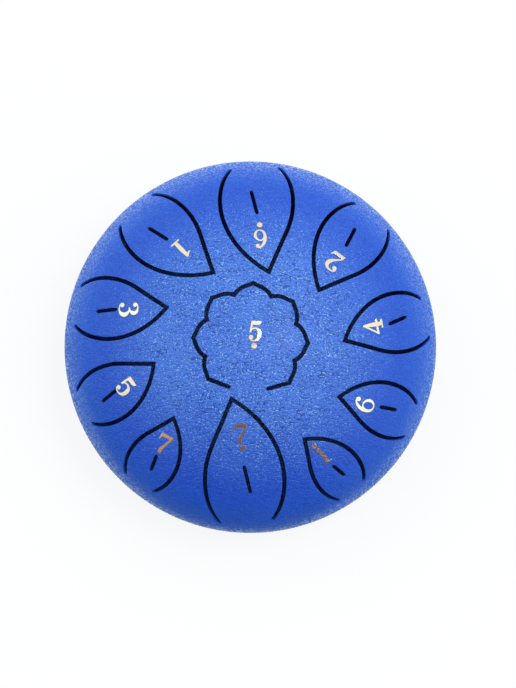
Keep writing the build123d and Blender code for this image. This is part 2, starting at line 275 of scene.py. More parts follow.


# blue paint, paler in the middle from a painted highlight, with painted shade in the creases, painted glints,
# and a frosty painted sheen at the rim, where the light skims the wrinkles
bluePaint = {
    "colour": srgb(8, 64, 188),
    "paintedHighlight": srgb(60, 107, 208),
    "deep": srgb(6, 42, 132),
    "paintedGlint": srgb(164, 208, 250),
    "edge": srgb(10, 88, 206),
    "rimSheen": srgb(120, 168, 244),
    "wornAndHighlit": srgb(96, 150, 220),
    "wrinkles": {"Scale": 500.0, "Stir": (0.001, 0.001, 0.001)},
    "patches": {"Scale": 45.0, "Soft": 0.22},
    "cracked": {"Scale": 120.0, "Soft": 0.2},
    "rubbed": {"Scale": 420.0, "Amount": 0.55},
    "middle": (0.030, 0.064, 1.0, 0.08),  # from and to these radii, and the shares there
    "outer": (0.058, 0.077),
    "rim": (0.0722, 0.0782),
    "paintedHighlightShare": (0.4, 0.6),  # what patches add, and the least
    "creaseShare": (0.5, 0.45),
    "creaseLeast": 0.3,
    "paintedGlintFade": 0.7,
    "paintedGlintLeast": 0.16,
    "paintedGlintShare": 0.7,
    "edgeShare": 0.65,
    "paintedRimSheenShare": 0.24,
    "wornAndHighlitShare": 0.2,
    "bump": (0.42, 0.0003),
    "gloss": (0.06, 0.33),
    "rimRough": 0.3,
    "creaseRough": 0.3,
    "shine": 0.55,
    "shineTint": (0.6, 0.85, 1.0, 1.0),
    "coat": 0.9,
    "coatLeast": 0.05,
    "coatGloss": 0.2,
}


def makeBluePaint(look):
    material, tree, shader, place = newMaterial("bluePaint")
    skin = useGroup(tree, wrinkle, place, look["wrinkles"])
    patches = useGroup(tree, cloud, place, look["patches"])["Mask"]
    cracked = useGroup(tree, cloud, place, look["cracked"])["Mask"]
    rubbed = useGroup(tree, rub, place, look["rubbed"])["Mask"]
    radius = fromAxis(tree, place)
    middle, rim = remap(tree, radius, *look["middle"]), remap(tree, radius, *look["rim"])
    # painted highlight: paler in the middle, in uneven patches
    paintedHighlight = product(tree, calc(tree, "MULTIPLY_ADD", patches, *look["paintedHighlightShare"]), middle)
    # painted shade: darker in the creases, most in the middle and at the rim
    creaseShadeReach = calc(tree, "MAXIMUM", calc(tree, "MAXIMUM", middle, look["creaseLeast"]), rim)
    paintedCreaseShade = product(tree, creaseShadeReach, calc(tree, "MULTIPLY_ADD", cracked, *look["creaseShare"]), skin["Crease"])
    # painted glints fade out from the middle
    sparks = calc(tree, "MAXIMUM", calc(tree, "POWER", middle, look["paintedGlintFade"]), look["paintedGlintLeast"])
    layers = {
        "paintedHighlight": paintedHighlight,
        "deep": paintedCreaseShade,
        "paintedGlint": product(tree, sparks, look["paintedGlintShare"], skin["PaintedGlint"]),
        "edge": remap(tree, radius, *look["outer"], 0.0, look["edgeShare"]),
        # painted sheen: a pale frosty colour where the light skims the rim
        "rimSheen": product(tree, skin["RimSheen"], rim, look["paintedRimSheenShare"]),
        # partly real wear and partly a painted highlight along the slit edges
        "wornAndHighlit": product(tree, rubbed, look["wornAndHighlitShare"]),
    }
    colour = look["colour"]
    for label, share in layers.items():  # each layer lies over the ones before
        colour = blendColour(tree, share, colour, look[label])
    wire(tree, colour, shader["Base Color"])
    rough = calc(tree, "MULTIPLY_ADD", patches, *look["gloss"])
    rough = calc(tree, "MULTIPLY_ADD", rim, look["rimRough"], rough)
    wire(tree, calc(tree, "MULTIPLY_ADD", skin["Crease"], look["creaseRough"], rough), shader["Roughness"])
    shader["Specular IOR Level"].default_value = look["shine"]
    shader["Specular Tint"].default_value = look["shineTint"]
    coat = remap(tree, radius, *look["outer"], 0.0, look["coat"])
    wire(tree, calc(tree, "MULTIPLY_ADD", skin["RimSheen"], coat, look["coatLeast"]), shader["Coat Weight"])
    shader["Coat Roughness"].default_value = look["coatGloss"]
    bumped(tree, shader, skin["Height"], *look["bump"])
    return material


# cut walls and the inside of the upper shell: dark, darker in patches, which on the cut walls is painted
# shade, with paint on the walls near the rim
paintedSlitShade = {
    "colour": srgb(22, 50, 68),
    "shadePatch": srgb(12, 26, 36),
    "paint": srgb(10, 74, 190),
    "shadePatches": {"Scale": 500.0, "Soft": 0.25},
    "wall": (0.1, 0.7),
    "outer": (0.0655, 0.0725),
    "gloss": (0.2, 0.6),
    "shine": 0.25,
    "bump": (0.2, 0.0001),
}


def makePaintedSlitShade(look):
    material, tree, shader, place = newMaterial("paintedSlitShade")
    shadePatch = useGroup(tree, cloud, place, look["shadePatches"])["Mask"]
    # painted shade: dark walls, darker in patches
    colour = blendColour(tree, shadePatch, look["colour"], look["shadePatch"])
    wall = node(tree, "ShaderNodeAttribute", attribute_name="edge").outputs["Fac"]
    outer = remap(tree, fromAxis(tree, place), *look["outer"])
    painted = product(tree, remap(tree, wall, *look["wall"]), outer)
    wire(tree, blendColour(tree, painted, colour, look["paint"]), shader["Base Color"])
    wire(tree, calc(tree, "MULTIPLY_ADD", shadePatch, *look["gloss"]), shader["Roughness"])
    shader["Specular IOR Level"].default_value = look["shine"]
    bumped(tree, shader, shadePatch, *look["bump"])
    return material


goldFoil = {
    "colour": srgb(216, 201, 178),
    "second": srgb(206, 168, 128),
    "patches": {"Scale": 260.0, "Soft": 0.25},
    "patchShare": 0.3,
    "rubbed": {"Scale": 900.0, "Amount": 0.7},
    "rubbedShare": 0.5,
    "wrinkles": {"Scale": 600.0, "Stir": (0.0008, 0.0008, 0.0008)},
    "metal": 1.0,
    "gloss": (0.06, 0.1),
    "bump": (0.05, 0.0003),
}
blackRubber = {
    "colour": srgb(26, 26, 28),
    "second": srgb(66, 65, 64),
    "patches": {"Scale": 380.0, "Soft": 0.16},
    "patchShare": 0.35,
    "wrinkles": {"Scale": 1800.0, "Stir": (0.0003, 0.0003, 0.0003)},
    "metal": 0.0,
    "gloss": (0.18, 0.62),
    "bump": (0.35, 0.00008),
}
zincSteel = {
    "colour": srgb(188, 190, 194),
    "second": srgb(150, 148, 140),
    "patches": {"Scale": 620.0, "Soft": 0.2},
    "patchShare": 0.5,
    "brushed": {"Scale": 900.0, "Soft": 0.3},
    "streak": (1.0, 1.0, 14.0),
    "metal": 1.0,
    "gloss": (0.16, 0.28),
    "bump": (0.12, 0.00005),
}


# foil, rubber and plating: a second colour in patches and on rubbed edges, on a wrinkled or brushed skin
def makeFinish(name, look):
    material, tree, shader, place = newMaterial(name)
    patches = useGroup(tree, cloud, place, look["patches"])["Mask"]
    colour = blendColour(tree, product(tree, patches, look["patchShare"]), look["colour"], look["second"])
    if "rubbed" in look:
        rubbed = useGroup(tree, rub, place, look["rubbed"])["Mask"]
        colour = blendColour(tree, product(tree, rubbed, look["rubbedShare"]), colour, look["second"])
    if "brushed" in look:
        streak = node(tree, "ShaderNodeMapping")
        streak.inputs["Scale"].default_value = look["streak"]
        wire(tree, place, streak.inputs["Vector"])
        height = uneven = useGroup(tree, cloud, streak.outputs[0], look["brushed"])["Mask"]
    else:
        height, uneven = useGroup(tree, wrinkle, place, look["wrinkles"])["Height"], patches
    wire(tree, colour, shader["Base Color"])
    shader["Metallic"].default_value = look["metal"]
    wire(tree, calc(tree, "MULTIPLY_ADD", uneven, *look["gloss"]), shader["Roughness"])
    bumped(tree, shader, height, *look["bump"])
    return material


paintFinish, paintedSlitShadeFinish = makeBluePaint(bluePaint), makePaintedSlitShade(paintedSlitShade)
foilFinish, rubberFinish = makeFinish("goldFoil", goldFoil), makeFinish("blackRubber", blackRubber)
steelFinish = makeFinish("zincSteel", zincSteel)
print("finishes made")


# pieces: a mesh with its own marks, then its finish, body and the nodes that it stands for
def newPiece(name, points, polygons, marks=None, sharp=None):
    mesh = bpy.data.meshes.new(name)
    mesh.from_pydata([tuple(p) for p in points], [], [tuple(int(k) for k in f) for f in polygons])
    for label, values in (marks or {}).items():
        mesh.attributes.new(label, "FLOAT", "POINT").data.foreach_set("value", values.astype(np.float32))
    mesh.validate()
    mesh.shade_smooth()
    if sharp is not None:
        mesh.set_sharp_from_angle(angle=math.radians(sharp))
    return addObject(name, mesh)


def seat(piece, finish, slotName, *nodes):
    piece.data.materials.clear()
    piece.data.materials.append(finish)
    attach(piece, "root")
    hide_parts(*nodes)


# quads between rows of point numbers, each row a closed ring
def wallFaces(rows):
    faces = []
    for upper, lower in zip(rows[:-1], rows[1:]):
        faces += zip(np.roll(upper, -1), upper, lower, np.roll(lower, -1))
    return faces


# both shells, and how the upper one is divided
shellSizes = {
    "shoulder": 0.030,
    "crownRise": 0.015,
    "wall": 0.0015,
    "weldLeg": 0.0009,
    "baseCorner": 0.030,
    "slitEdge": 0.00012,
    "slitSpacing": 0.0006,
    "slitCorner": 0.4,  # a turn past this angle stays sharp
    "spacing": 0.0016,
    "steps": 3,
    "rimPoints": 360,
    "rimClear": 0.001,
}
lowerBox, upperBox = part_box("lower_shell"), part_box("upper_shell")
drumRadius, apexLevel = upperBox[1][0], upperBox[1][2]
seamLevel, baseLevel = upperBox[0][2], lowerBox[0][2]


# the dome's half section: the run along it from the axis, with radius, height and outward direction
def domeSection(sizes, samples=2000):
    shoulder, rise = sizes["shoulder"], sizes["crownRise"]
    middle = drumRadius - shoulder
    crown = (middle ** 2 + rise ** 2) / (2 * rise) + shoulder
    lean = math.asin(middle / (crown - shoulder))
    level = apexLevel - shoulder - rise
    first, second = np.linspace(0, lean, samples), np.linspace(lean, math.pi / 2, samples)[1:]
    radius = np.concatenate([crown * np.sin(first), middle + shoulder * np.sin(second), [drumRadius]])
    height = np.concatenate([apexLevel - crown + crown * np.cos(first), level + shoulder * np.cos(second),
                             [seamLevel + sizes["weldLeg"]]])
    out = np.concatenate([np.sin(first), np.sin(second), [1.0]])
    up = np.concatenate([np.cos(first), np.cos(second), [0.0]])
    run = np.concatenate([[0.0], np.cumsum(np.hypot(np.diff(radius), np.diff(height)))])
    return {"run": run, "radius": radius, "height": height, "out": out, "up": up}


dome = domeSection(shellSizes)


def liftToDome(flat, height):
    run, turn = np.hypot(flat[:, 0], flat[:, 1]), np.arctan2(flat[:, 1], flat[:, 0])
    radius, level, out, up = (np.interp(run, dome["run"], dome[k]) for k in ("radius", "height", "out", "up"))
    radius, level = radius + height * out, level + height * up
    return np.stack([radius * np.cos(turn), radius * np.sin(turn), level], 1)


def flattenFromDome(points):
    radius, turn = np.hypot(points[:, 0], points[:, 1]), np.arctan2(points[:, 1], points[:, 0])
    run = np.interp(radius - points[:, 2], dome["radius"] - dome["height"], dome["run"])
    return np.stack([run * np.cos(turn), run * np.sin(turn)], 1)


# outlines of a CAD node where it meets the dome, as loops on the flattened dome
def domeOutlines(name, side, merge=1e-6, skinGap=3e-5, facing=0.5):
    bm = bmesh.new()
    bm.from_mesh(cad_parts[name].data)  # a copy, so the node stays as it is
    bmesh.ops.remove_doubles(bm, verts=bm.verts, dist=merge)
    bm.verts.index_update()
    points = np.array([v.co for v in bm.verts])
    flat = flattenFromDome(points)
    onSkin = np.linalg.norm(liftToDome(flat, 0.0) - points, axis=1) < skinGap
    outward = liftToDome(flat, 1.0) - liftToDome(flat, 0.0)
    skin = set()
    for face in bm.faces:
        corners = [v.index for v in face.verts]
        if onSkin[corners].all() and side * face.normal.dot(Vector(outward[corners[0]])) > facing:
            skin.add(face.index)
    nextTo = {}
    for edge in bm.edges:
        if sum(f.index in skin for f in edge.link_faces) == 1:
            a, b = (v.index for v in edge.verts)
            nextTo.setdefault(a, []).append(b)
            nextTo.setdefault(b, []).append(a)
    bm.free()
    loops, seen = [], set()
    for start in nextTo:
        if start in seen:
            continue
        loop, before, here = [start], None, start
        while True:
            seen.add(here)
            ahead = [n for n in nextTo[here] if n != before and (n not in seen or n == start)]
            if not ahead or ahead[0] == start and len(loop) > 2 and all(n in seen for n in ahead):
                break
            before, here = here, next((n for n in ahead if n != start), ahead[0])
            loop.append(here)
        loops.append(flat[loop])
    return loops


def turnAngles(loop):
    ahead, behind = np.roll(loop, -1, 0) - loop, loop - np.roll(loop, 1, 0)
    return np.arctan2(behind[:, 0] * ahead[:, 1] - behind[:, 1] * ahead[:, 0], (behind * ahead).sum(1))


# the same loop with even spacing, eased between its sharp corners
def evenLoop(loop, spacing, sharp, passes=2):
    corners = np.flatnonzero(np.abs(turnAngles(loop)) > sharp)
    rounded = not len(corners)
    if rounded:
        corners = np.array([0])
    loop = np.roll(loop, -corners[0], 0)
    closed = np.vstack([loop, loop[:1]])
    along = np.concatenate([[0], np.cumsum(np.linalg.norm(np.diff(closed, axis=0), axis=1))])
    stops = np.append(corners - corners[0], len(loop))
    marks, fixed = [], []
    for a, b in zip(stops[:-1], stops[1:]):
        count = max(2, round((along[b] - along[a]) / spacing))
        marks.append(np.linspace(along[a], along[b], count, endpoint=False))
        fixed.append((np.arange(count) == 0) & (not rounded))
    marks, fixed = np.concatenate(marks), np.concatenate(fixed)
    even = np.stack([np.interp(marks, along, closed[:, k]) for k in (0, 1)], 1)
    for _ in range(passes):
        eased = even * 0.5 + (np.roll(even, 1, 0) + np.roll(even, -1, 0)) * 0.25
        even = np.where(fixed[:, None], even, eased)
    return even


def area(loop):
    ahead = np.roll(loop, -1, 0)
    return 0.5 * (loop[:, 0] * ahead[:, 1] - loop[:, 1] * ahead[:, 0]).sum()


def insideLoops(points, loops, batch=2000):
    odd = np.zeros(len(points), bool)
    for loop in loops:
        ahead = np.roll(loop, -1, 0)
        low, high = loop.min(0), loop.max(0)
        near = np.flatnonzero(((points >= low) & (points <= high)).all(1))
        for chunk in np.array_split(near, max(1, len(near) // batch)):
            p = points[chunk]
            spans = (loop[:, 1] > p[:, 1:2]) != (ahead[:, 1] > p[:, 1:2])
            rise = np.where(ahead[:, 1] == loop[:, 1], 1e-12, ahead[:, 1] - loop[:, 1])
            cross = (ahead[:, 0] - loop[:, 0]) * (p[:, 1:2] - loop[:, 1]) / rise + loop[:, 0]
            odd[chunk] ^= (spans & (p[:, :1] < cross)).sum(1) % 2 == 1
    return odd


# the loop moved to its left by depth, less far out at corners past the blunt limit
def inset(loop, depth, blunt=0.3):
    ahead, behind = np.roll(loop, -1, 0) - loop, loop - np.roll(loop, 1, 0)
    ahead /= np.linalg.norm(ahead, axis=1)[:, None]
    behind /= np.linalg.norm(behind, axis=1)[:, None]
    left = np.stack([-(ahead + behind)[:, 1], (ahead + behind)[:, 0]], 1)
    left /= np.maximum(np.linalg.norm(left, axis=1), 1e-9)[:, None]
    half = np.sqrt(np.clip((1 + (ahead * behind).sum(1)) / 2, blunt, 1))
    return loop + left * (depth / half)[:, None]


# points that would crowd or cross each other once the edge is rounded are left out
def easeCorners(loop, depth, least=0.3, fewest=8):
    while len(loop) > fewest:
        ring, n = inset(loop, depth), len(loop)
        before, after = np.roll(loop, -1, 0) - loop, np.roll(ring, -1, 0) - ring
        share = (before * after).sum(1) / (before ** 2).sum(1)
        k = int(share.argmin())
        if share[k] > least:
            break
        turn = np.abs(turnAngles(loop))
        loop = np.delete(loop, min(k, (k + 1) % n, key=lambda m: turn[m]), 0)
    return loop


# a sliver along an outline counts as inside where the face behind its long side is inside
def keepInside(flat, faces, inside, outline, sliver=0.01):
    sides, taken = {}, set(map(tuple, np.sort(outline, axis=1).tolist()))
    for k, f in enumerate(faces.tolist()):
        for a, b in zip(f, f[1:] + f[:1]):
            sides.setdefault((min(a, b), max(a, b)), []).append(k)
    corners = flat[faces]
    long = np.linalg.norm(np.roll(corners, -1, 1) - corners, axis=2)
    size = np.abs(np.cross(corners[:, 1] - corners[:, 0], corners[:, 2] - corners[:, 0]))
    for k in np.flatnonzero(size < sliver * long.max(1) ** 2):
        longest = long[k].argmax()
        a, b = faces[k][longest], faces[k][(longest + 1) % 3]
        pair = (int(min(a, b)), int(max(a, b)))
        other = [m for m in sides[pair] if m != k]
        if pair not in taken and other:
            inside[k] = inside[other[0]]
    return faces[inside]


# triangles within the rings, the rings' points first, and how far each point is from a ring
def fillRings(rings, spacing, clear=0.6):
    edges, count = [], 0
    for ring in rings:
        n = len(ring)
        edges += [(count + k, count + (k + 1) % n) for k in range(n)]
        count += n
    border = np.vstack(rings)
    near = KDTree(count)
    for k, p in enumerate(border):
        near.insert((*p, 0), k)
    near.balance()
    low, high = border.min(0), border.max(0)
    rows = np.arange(low[1], high[1], spacing * math.sqrt(3) / 2)
    columns = np.arange(low[0], high[0], spacing)
    grid = [(x + (k % 2) * spacing / 2, y) for k, y in enumerate(rows) for x in columns]
    grid = np.array([p for p in grid if near.find((*p, 0))[2] > clear * spacing])
    if len(grid):
        grid = grid[insideLoops(grid, rings)]
    flat = np.vstack([border, grid]) if len(grid) else border
    solved = delaunay_2d_cdt([Vector(p) for p in flat], edges, [], 1, 1e-9)
    if len(solved[0]) != len(flat):  # rings cross
        return None
    source = [ids[0] for ids in solved[3]]
    faces = np.array([[source[k] for k in f] for f in solved[2]])
    faces = keepInside(flat, faces, insideLoops(flat[faces].mean(1), rings), np.array(edges))
    spin = flat[faces]
    cross = np.cross(spin[:, 1] - spin[:, 0], spin[:, 2] - spin[:, 0])
    faces[cross < 0] = faces[cross < 0][:, ::-1]
    return flat, faces, np.array([near.find((*p, 0))[2] for p in flat])


# a closed sheet on the dome, from top to bottom height, with rounded edges at every outline
sheetLook = {"wearAndHighlightReach": 0.0025, "wearAndHighlightShare": 0.6, "sharp": 20}


def formSheet(name, loops, top, bottom, edge, spacing, steps, rim=None):
    turned = []
    for loop in loops:
        hole = insideLoops(loop[:1], [other for other in loops if other is not loop])[0]
        solid = rim is None and not hole
        turned.append(easeCorners(loop if (area(loop) > 0) == solid else loop[::-1], edge))
    rings = [inset(loop, edge) for loop in turned]
    filled = fillRings(rings if rim is None else rings + [rim], spacing)
    if filled is None:  # the rounding crossed itself in a tight corner
        return formSheet(name, loops, top, bottom, edge / 2, spacing, steps, rim)
    flat, faces, gap = filled
    count = len(flat)
    points = [liftToDome(flat, top), liftToDome(flat, bottom)]
    # the edge mark: wear near the outlines, on the blue paint also a painted highlight
    wearAndHighlight = [np.clip(1 - gap / sheetLook["wearAndHighlightReach"], 0, 1) * sheetLook["wearAndHighlightShare"], np.zeros(count)]
    polygons = [*faces, *(count + faces[:, ::-1])]
    within = [0] * len(faces) + [1] * len(faces)  # 1 on the cut walls and the inside

    def addRow(row, wornAndHighlit):
        start = sum(map(len, points))
        points.append(row)
        wearAndHighlight.append(np.full(len(row), wornAndHighlit))
        return np.arange(start, start + len(row))

    turns = [math.pi / 2 * (k + 1) / steps for k in range(steps)]
    levels = [(edge * (1 - math.sin(t)), top - edge * (1 - math.cos(t)), 1.0) for t in turns]
    levels += [(edge * (1 - math.sin(t)), bottom + edge * (1 - math.cos(t)), 0.0) for t in reversed(turns)]
    at = 0
    for loop in turned:
        own = np.arange(at, at + len(loop))
        rows = [addRow(liftToDome(inset(loop, depth), height), wornAndHighlit) for depth, height, wornAndHighlit in levels]
        polygons += wallFaces([own, *rows, count + own])
        within += [0] * len(own) + [1] * len(own) * len(rows)
        at += len(own)
    if rim is not None:  # the bevelled lip that the weld lies on
        own, turn = np.arange(at, at + len(rim)), np.arctan2(rim[:, 1], rim[:, 0])
        rows = []
        for depth in (shellSizes["weldLeg"], shellSizes["wall"]):
            radius, level = drumRadius - depth, np.full(len(rim), seamLevel)
            rows.append(addRow(np.stack([radius * np.cos(turn), radius * np.sin(turn), level], 1), 0.0))
        polygons += wallFaces([own, *rows, count + own])
        within += [0] * len(own) * (len(rows) + 1)
    marks = {"edge": np.concatenate(wearAndHighlight)}
    return newPiece(name, np.vstack(points), polygons, marks, sheetLook["sharp"]), within


# upper shell, with the slits of the tongues
def makeUpperShell(sizes):
    turns = np.arange(sizes["rimPoints"]) * math.tau / sizes["rimPoints"]
    rimRun = dome["run"][-1]
    rim = rimRun * np.stack([np.cos(turns), np.sin(turns)], 1)
    cuts = [loop for loop in domeOutlines("upper_shell", 1)
            if np.hypot(*loop.T).max() < rimRun - sizes["rimClear"]]
    slits = [evenLoop(loop, sizes["slitSpacing"], sizes["slitCorner"]) for loop in cuts]
    shell, within = formSheet("upperShell", slits, 0.0, -sizes["wall"], sizes["slitEdge"], sizes["spacing"],
                              sizes["steps"], rim)
    seat(shell, paintFinish, "blue_paint", "upper_shell")
    shell.data.materials.append(paintedSlitShadeFinish)
    shell.data.polygons.foreach_set("material_index", within)
    print("upper shell:", len(slits), "slits,", len(shell.data.polygons), "faces")


makeUpperShell(shellSizes)

# gold foil numerals
foilSizes = {
    "thick": 0.00015,
    "edge": 0.00003,
    "steps": 2,
    "outline": 0.00012,
    "corner": 0.6,
    "spacing": 0.0006,
}


def makeNumeral(name, sizes):
    loops = [evenLoop(loop, sizes["outline"], sizes["corner"]) for loop in domeOutlines(name, -1)]
    numeral, _ = formSheet(name.replace("note", "foil"), loops, sizes["thick"], 0.0, sizes["edge"],
                           sizes["spacing"], sizes["steps"])
    seat(numeral, foilFinish, "gold_foil", name)


for name in sorted(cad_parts):
    if name.startswith("note_"):
        makeNumeral(name, foilSizes)
print("numerals made")


# lathe work: a closed half section of corners, each with radius, height, rounding and steps
def roundCorners(corners):
    points = []
    for k, (x, y, rounding, steps) in enumerate(corners):
        here = Vector((x, y))
        if not rounding:
            points.append(here)
            continue
        before = (Vector(corners[k - 1][:2]) - here).normalized()
        after = (Vector(corners[(k + 1) % len(corners)][:2]) - here).normalized()
        half = before.angle(after) / 2
        middle = here + (before + after).normalized() * (rounding / math.sin(half))
        start = here + before * (rounding / math.tan(half)) - middle
        end = here + after * (rounding / math.tan(half)) - middle
        sweep = start.angle_signed(end)
        for step in range(steps + 1):
            turned = start.copy()
            turned.rotate(Matrix.Rotation(-sweep * step / steps, 2))
            points.append(middle + turned)
    return points


def bakeMesh(name, bm):
    mesh = bpy.data.meshes.new(name)
    bm.to_mesh(mesh)
    bm.free()
    return mesh


turnedSharp = 40  # degrees, past which an edge of turned work is crisp


def lathe(name, corners, segments):
    bm = bmesh.new()
    turns = [math.tau * k / segments for k in range(segments)]
    rings = [[bm.verts.new((p.x * math.cos(a), p.x * math.sin(a), p.y)) for a in turns]
             for p in roundCorners(corners)]
    for ring, following in zip(rings, rings[1:] + rings[:1]):
        for k in range(segments):
            j = (k + 1) % segments
            bm.faces.new((ring[k], ring[j], following[j], following[k]))
    bmesh.ops.remove_doubles(bm, verts=bm.verts, dist=1e-7)
    bmesh.ops.dissolve_degenerate(bm, edges=bm.edges, dist=1e-8)
    bmesh.ops.recalc_face_normals(bm, faces=bm.faces)
    mesh = bakeMesh(name, bm)
    mesh.shade_smooth()
    mesh.set_sharp_from_angle(angle=math.radians(turnedSharp))
    return addObject(name, mesh)


# geometry trees: named inputs, one modifier at a time, then a plain mesh
def newGeometryTree(name, inputs):
    tree = bpy.data.node_groups.new(name, "GeometryNodeTree")
    for label, kind in {"Geometry": "Geometry", **inputs, "Finish": "Material"}.items():
        tree.interface.new_socket(label, in_out="INPUT", socket_type="NodeSocket" + kind)
    tree.interface.new_socket("Geometry", in_out="OUTPUT", socket_type="NodeSocketGeometry")
    return tree, node(tree, "NodeGroupInput").outputs


def realize(tree, geometry):
    return fill(tree, node(tree, "GeometryNodeRealizeInstances"), [geometry])[0]


def endTree(tree, given, geometry):
    finish = node(tree, "GeometryNodeSetMaterial")
    wire(tree, realize(tree, geometry), finish.inputs["Geometry"])
    wire(tree, given["Finish"], finish.inputs["Material"])
    wire(tree, finish.outputs[0], node(tree, "NodeGroupOutput").inputs["Geometry"])
    return tree


def runTree(piece, tree, values):
    modifier = piece.modifiers.new(tree.name, "NODES")
    modifier.node_group = tree
    for item in tree.interface.items_tree:
        if item.item_type == "SOCKET" and item.in_out == "INPUT" and item.name in values:
            modifier[item.identifier] = values[item.name]
    settle(piece)


def settle(piece):
    made = bpy.data.meshes.new_from_object(piece.evaluated_get(bpy.context.evaluated_depsgraph_get()))
    piece.modifiers.clear()
    piece.data = made


# copies on the circle of the feet, the first one at the player's side
def placeRound(tree, given, shape):
    circle = node(tree, "GeometryNodeMeshCircle")
    wire(tree, given["Count"], circle.inputs["Vertices"])
    wire(tree, given["Circle"], circle.inputs["Radius"])
    turned = node(tree, "GeometryNodeTransform")
    wire(tree, circle.outputs[0], turned.inputs["Geometry"])
    turned.inputs["Rotation"].default_value = (0, 0, -math.pi / 2)
    placed = node(tree, "GeometryNodeInstanceOnPoints")
    wire(tree, turned.outputs[0], placed.inputs["Points"])
    wire(tree, shape, placed.inputs["Instance"])
    return placed.outputs[0]


def makeRepeatTree():
    tree, given = newGeometryTree("repeatRound", {"Count": "Int", "Circle": "Float"})
    return endTree(tree, given, placeRound(tree, given, given["Geometry"]))


def makeDrillTree():
    tree, given = newGeometryTree("drillRound", {"Count": "Int", "Circle": "Float", "Hole": "Float",
                                                 "Sides": "Int", "Level": "Float", "Depth": "Float"})
    drill = node(tree, "GeometryNodeMeshCylinder")
    for label, value in (("Vertices", "Sides"), ("Radius", "Hole"), ("Depth", "Depth")):
        wire(tree, given[value], drill.inputs[label])
    lift = node(tree, "ShaderNodeCombineXYZ")
    wire(tree, given["Level"], lift.inputs["Z"])
    raised = node(tree, "GeometryNodeTransform")
    wire(tree, drill.outputs[0], raised.inputs["Geometry"])
    wire(tree, lift.outputs[0], raised.inputs["Translation"])
    cut = node(tree, "GeometryNodeMeshBoolean", operation="DIFFERENCE")
    wire(tree, given["Geometry"], cut.inputs["Mesh 1"])
    wire(tree, realize(tree, placeRound(tree, given, raised.outputs[0])), cut.inputs["Mesh 2"])
    return endTree(tree, given, cut.outputs[0])


repeatTree, drillTree = makeRepeatTree(), makeDrillTree()

# lower shell: a bowl with a sound hole, drilled for the feet
footRing = {"Count": 3, "Circle": 0.036}
bowlSizes = {
    "soundHole": 0.016,
    "holeEdge": (0.0005, 4),
    "cornerSteps": 28,
    "screwHole": 0.0017,
    "holeSides": 32,
    "segments": 192,
}


def makeLowerShell(sizes, shell):
    wall, leg, corner, steps = shell["wall"], shell["weldLeg"], shell["baseCorner"], sizes["cornerSteps"]
    bowl = lathe("lowerShell", [
        (sizes["soundHole"], baseLevel, *sizes["holeEdge"]),
        (drumRadius, baseLevel, corner, steps),
        (drumRadius, seamLevel - leg, 0, 0),
        (drumRadius - leg, seamLevel, 0, 0),
        (drumRadius - wall, seamLevel, 0, 0),
        (drumRadius - wall, baseLevel + wall, corner - wall, steps),
        (sizes["soundHole"], baseLevel + wall, *sizes["holeEdge"]),
    ], sizes["segments"])
    runTree(bowl, drillTree, {**footRing, "Hole": sizes["screwHole"], "Sides": sizes["holeSides"],
                              "Level": baseLevel + wall / 2, "Depth": wall * 3, "Finish": paintFinish})
    bowl.data.set_sharp_from_angle(angle=math.radians(turnedSharp))
    seat(bowl, paintFinish, "blue_paint", "lower_shell")
    print("lower shell:", len(bowl.data.polygons), "faces")


makeLowerShell(bowlSizes, shellSizes)


# seam weld: a bead round the seam, crowned and rippled
def makeWeldTree():
    tree, given = newGeometryTree("weldBead", {
        "Radius": "Float", "Level": "Float", "Leg": "Float", "Crown": "Float",
        "Ripple": "Float", "Ripples": "Float", "Bow": "Float", "Around": "Int", "Across": "Int"})
    strip = node(tree, "GeometryNodeMeshGrid")
    for label, value in (("Size X", 1.0), ("Size Y", 1.0), ("Vertices X", given["Around"]),
                         ("Vertices Y", given["Across"])):
        wire(tree, value, strip.inputs[label])
    place = node(tree, "ShaderNodeSeparateXYZ")
    wire(tree, node(tree, "GeometryNodeInputPosition").outputs[0], place.inputs[0])
    turn = product(tree, place.outputs[0], math.tau)
    across = product(tree, place.outputs[1], 4.0)  # under -1 and over 1 it goes back into the groove
    onCrown = calc(tree, "MINIMUM", calc(tree, "MAXIMUM", across, -1.0), 1.0)
    sunk = calc(tree, "SUBTRACT", calc(tree, "ABSOLUTE", across), calc(tree, "ABSOLUTE", onCrown))
    square = product(tree, onCrown, onCrown)
    phase = calc(tree, "MULTIPLY_ADD", turn, given["Ripples"], product(tree, square, given["Bow"]))
    wave = product(tree, calc(tree, "SINE", phase), given["Ripple"])
    crest = calc(tree, "ADD", calc(tree, "SUBTRACT", given["Crown"], given["Ripple"]), wave)
    proud = product(tree, calc(tree, "SUBTRACT", 1.0, square), crest)
    proud = calc(tree, "SUBTRACT", proud, product(tree, sunk, given["Leg"]))
    radius = calc(tree, "ADD", given["Radius"], proud)
    side = product(tree, onCrown, calc(tree, "SUBTRACT", 1.0, sunk))
    moved = fill(tree, node(tree, "ShaderNodeCombineXYZ"), (
        product(tree, radius, calc(tree, "COSINE", turn)),
        product(tree, radius, calc(tree, "SINE", turn)),
        calc(tree, "MULTIPLY_ADD", side, given["Leg"], given["Level"])))[0]
    bent = node(tree, "GeometryNodeSetPosition")
    wire(tree, strip.outputs[0], bent.inputs["Geometry"])
    wire(tree, moved, bent.inputs["Position"])
    closed = node(tree, "GeometryNodeMergeByDistance")
    wire(tree, bent.outputs[0], closed.inputs["Geometry"])
    closed.inputs["Distance"].default_value = 1e-6
    return endTree(tree, given, closed.outputs[0])


